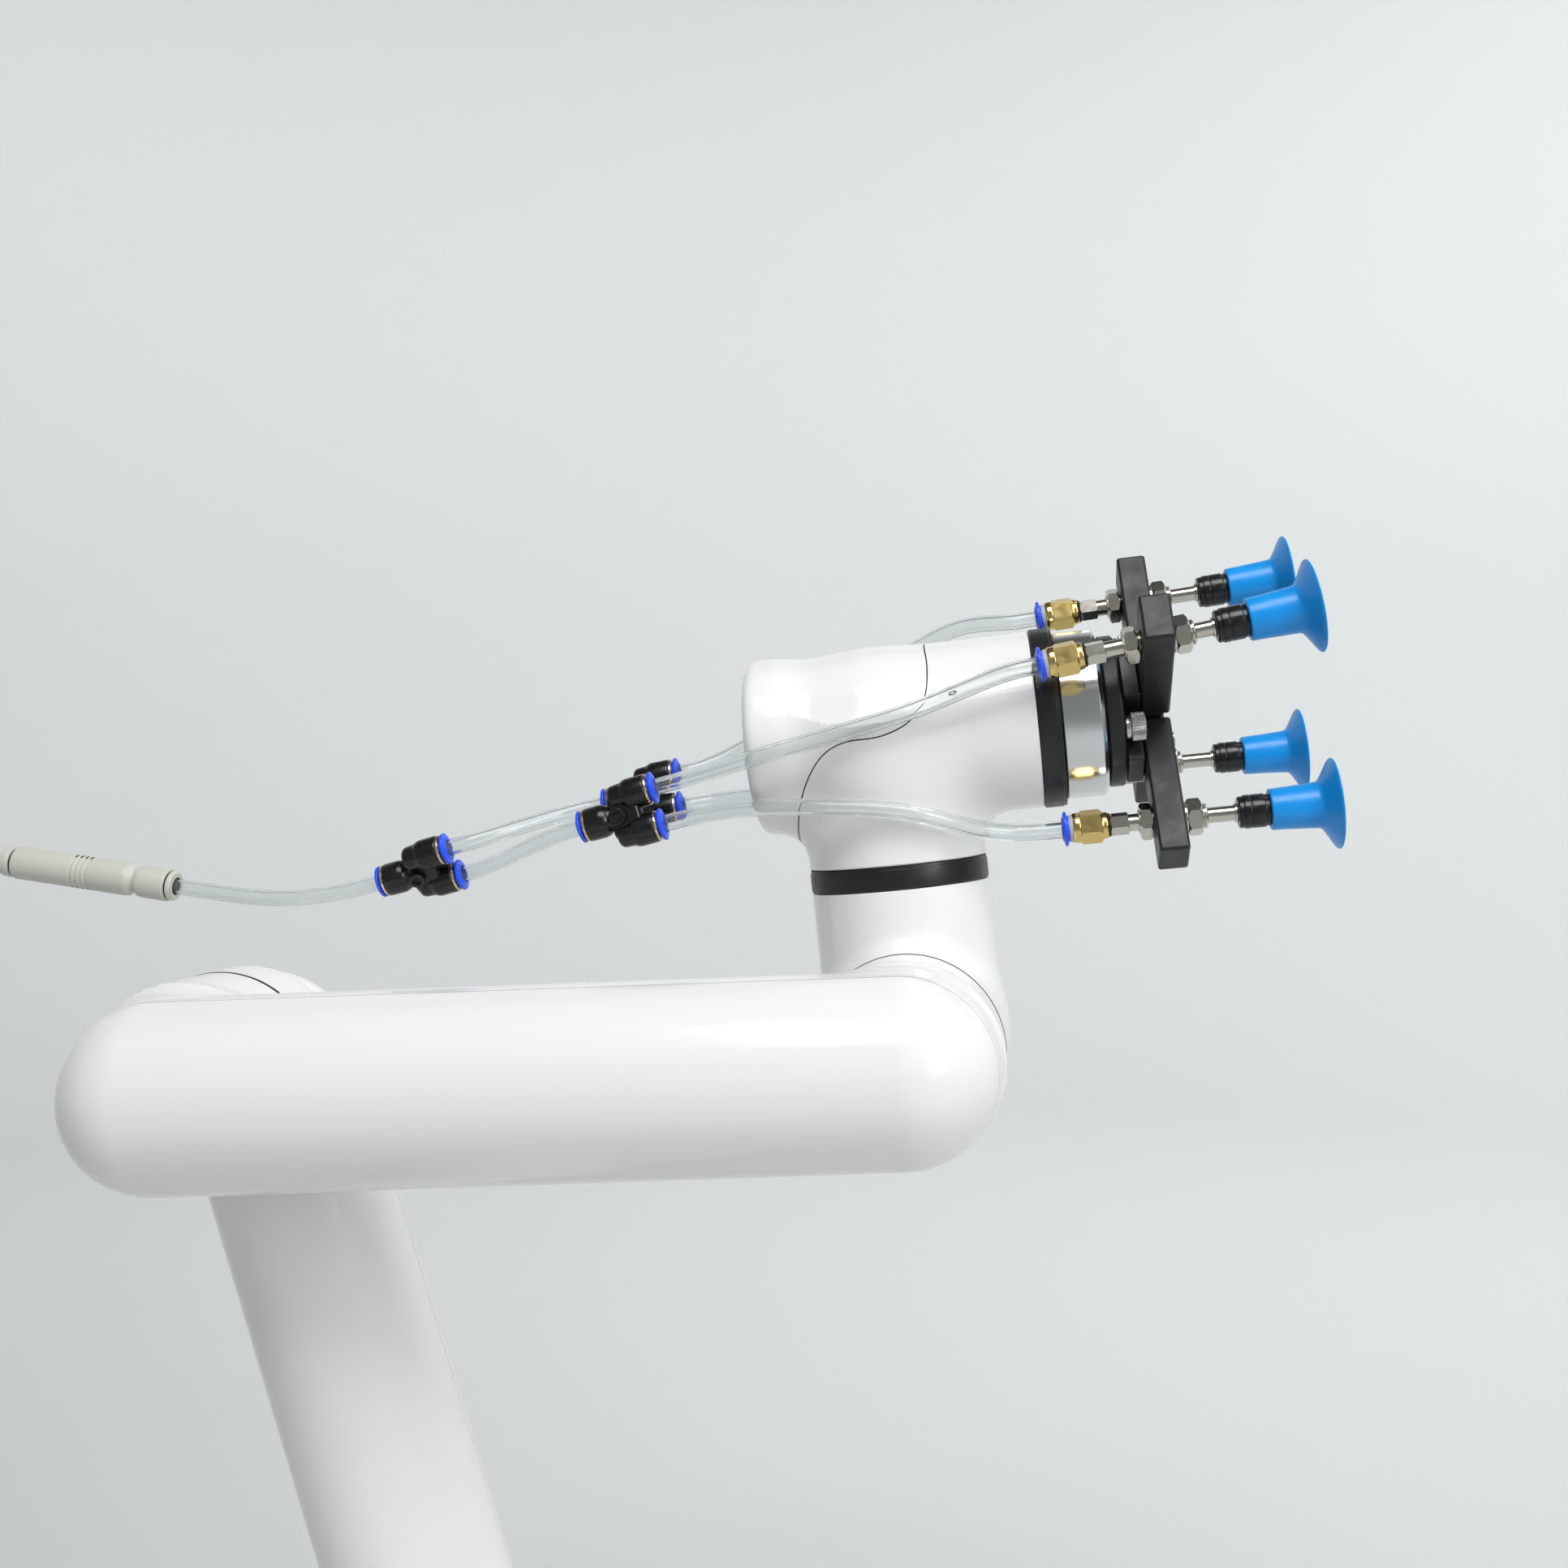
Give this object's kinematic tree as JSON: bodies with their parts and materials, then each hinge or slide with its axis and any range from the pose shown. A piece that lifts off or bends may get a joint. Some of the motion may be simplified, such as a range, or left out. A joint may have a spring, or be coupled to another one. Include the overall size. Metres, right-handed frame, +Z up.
{
  "type": "desktop robot arm",
  "caption": "Jointed desktop robot arm on a round base, white tubular links, carrying a cross-shaped vacuum gripper with sprung suction cups, clear hoses and an in-line ejector.",
  "frame": {"origin": "centre of the base plate's underside, on the axis of the base's turning joint", "axes": "+Z up along the base joint; +X towards the suction cups in the stored pose; -Y towards the viewer of the picture, with the shoulder, elbow and wrist pivots along +Y"},
  "size_m": [0.502, 0.2617, 0.6513],
  "materials": {
    "white_shell": "glossy",
    "black_plastic": "satin",
    "black_anodised": "satin black anodised",
    "drive_metal": "machined",
    "base_steel": "machined",
    "turned_aluminium": "turned, bright",
    "nickel": "plated",
    "brass": "bright",
    "blue_silicone": "satin",
    "clear_hose": "clear, glossy",
    "grey_plastic": "satin",
    "circuit_board": "satin"
  },
  "bodies": {
    "base": {"base_plate": "base_steel", "base_housing": "white_shell", "connector_panel": "black_plastic", "controller_board": "circuit_board", "joint_1_drive": "drive_metal"},
    "power_button": {"power_button": "black_plastic"},
    "shoulder": {"shoulder_housing": "white_shell", "shoulder_cap": "white_shell", "joint_2_drive": "drive_metal"},
    "upper_arm": {"upper_arm_front_shell": "white_shell", "upper_arm_rear_shell": "white_shell", "joint_3_drive": "drive_metal"},
    "forearm": {"forearm_front_shell": "white_shell", "forearm_rear_shell": "white_shell", "joint_4_drive": "drive_metal"},
    "wrist_1": {"wrist_1_housing": "white_shell", "joint_5_drive": "drive_metal"},
    "wrist_2": {"joint_5_seal": "black_plastic", "wrist_2_housing": "white_shell", "wrist_2_end_cover": "white_shell", "joint_6_drive": "drive_metal", "splitter_near": "black_plastic", "splitter_far": "black_plastic", "splitter_main": "black_plastic", "vacuum_ejector": "grey_plastic", "hose_near_top": "clear_hose", "hose_near_bottom": "clear_hose", "hose_far_top": "clear_hose", "hose_far_bottom": "clear_hose", "hose_near_splitter": "clear_hose", "hose_far_splitter": "clear_hose", "hose_ejector": "clear_hose"},
    "tool": {"joint_6_seal": "black_plastic", "tool_flange": "turned_aluminium", "adapter_disc": "black_anodised", "gripper_hub": "black_anodised", "gripper_arm_near_top": "black_anodised", "gripper_arm_far_top": "black_anodised", "gripper_arm_far_bottom": "black_anodised", "gripper_arm_near_bottom": "black_anodised", "compensator_sleeve_near_top": "nickel", "compensator_sleeve_far_top": "nickel", "compensator_sleeve_far_bottom": "nickel", "compensator_sleeve_near_bottom": "nickel"},
    "cup_near_top": {"compensator_rod_near_top": "nickel", "push_fitting_near_top": "brass", "cup_holder_near_top": "black_plastic", "suction_cup_near_top": "blue_silicone"},
    "cup_far_top": {"compensator_rod_far_top": "nickel", "push_fitting_far_top": "brass", "cup_holder_far_top": "black_plastic", "suction_cup_far_top": "blue_silicone"},
    "cup_far_bottom": {"compensator_rod_far_bottom": "nickel", "push_fitting_far_bottom": "brass", "cup_holder_far_bottom": "black_plastic", "suction_cup_far_bottom": "blue_silicone"},
    "cup_near_bottom": {"compensator_rod_near_bottom": "nickel", "push_fitting_near_bottom": "brass", "cup_holder_near_bottom": "black_plastic", "suction_cup_near_bottom": "blue_silicone"}
  },
  "joints": [
    {"name": "base_turn", "type": "hinge", "parent": "base", "child": "shoulder", "pos_m": [0, 0, 0.1], "axis": [0, 0, 1], "range_deg": [-175, 175]},
    {"name": "shoulder_tilt", "type": "hinge", "parent": "shoulder", "child": "upper_arm", "pos_m": [0, 0.106, 0.219], "axis": [0, 1, 0], "range_deg": [-60, 45]},
    {"name": "elbow_tilt", "type": "hinge", "parent": "upper_arm", "child": "forearm", "pos_m": [-0.07434, 0.031, 0.45769], "axis": [0, 1, 0], "range_deg": [-120, 20]},
    {"name": "wrist_tilt", "type": "hinge", "parent": "forearm", "child": "wrist_1", "pos_m": [0.17529, 0.109, 0.47121], "axis": [0, 1, 0], "range_deg": [-4, 120]},
    {"name": "wrist_turn", "type": "hinge", "parent": "wrist_1", "child": "wrist_2", "pos_m": [0.16486, 0.109, 0.57951], "axis": [-0.0958, 0, 0.9954], "range_deg": [-168, 168]},
    {"name": "tool_turn", "type": "hinge", "parent": "wrist_2", "child": "tool", "pos_m": [0.16486, 0.109, 0.57951], "axis": [0.9954, 0, 0.0958], "range_deg": [-45, 45], "deforming": ["hose_near_top", "hose_near_bottom", "hose_far_top", "hose_far_bottom"]},
    {"name": "compensator_near_top", "type": "slide", "parent": "tool", "child": "cup_near_top", "axis": [0.9799, 0, 0.1994], "range_m": [-0.005, 0], "stiffness_N_per_m": 250},
    {"name": "compensator_far_top", "type": "slide", "parent": "tool", "child": "cup_far_top", "axis": [0.9903, 0, 0.1392], "range_m": [-0.008, 0], "stiffness_N_per_m": 250},
    {"name": "compensator_far_bottom", "type": "slide", "parent": "tool", "child": "cup_far_bottom", "axis": [0.9954, 0, 0.0958], "range_m": [-0.01, 0], "stiffness_N_per_m": 250},
    {"name": "compensator_near_bottom", "type": "slide", "parent": "tool", "child": "cup_near_bottom", "axis": [0.9954, 0, 0.0958], "range_m": [-0.0085, 0], "stiffness_N_per_m": 250},
    {"name": "power_button_press", "type": "slide", "parent": "base", "child": "power_button", "axis": [0, -1, 0], "range_m": [0, 0.0022], "stiffness_N_per_m": 400}
  ]
}
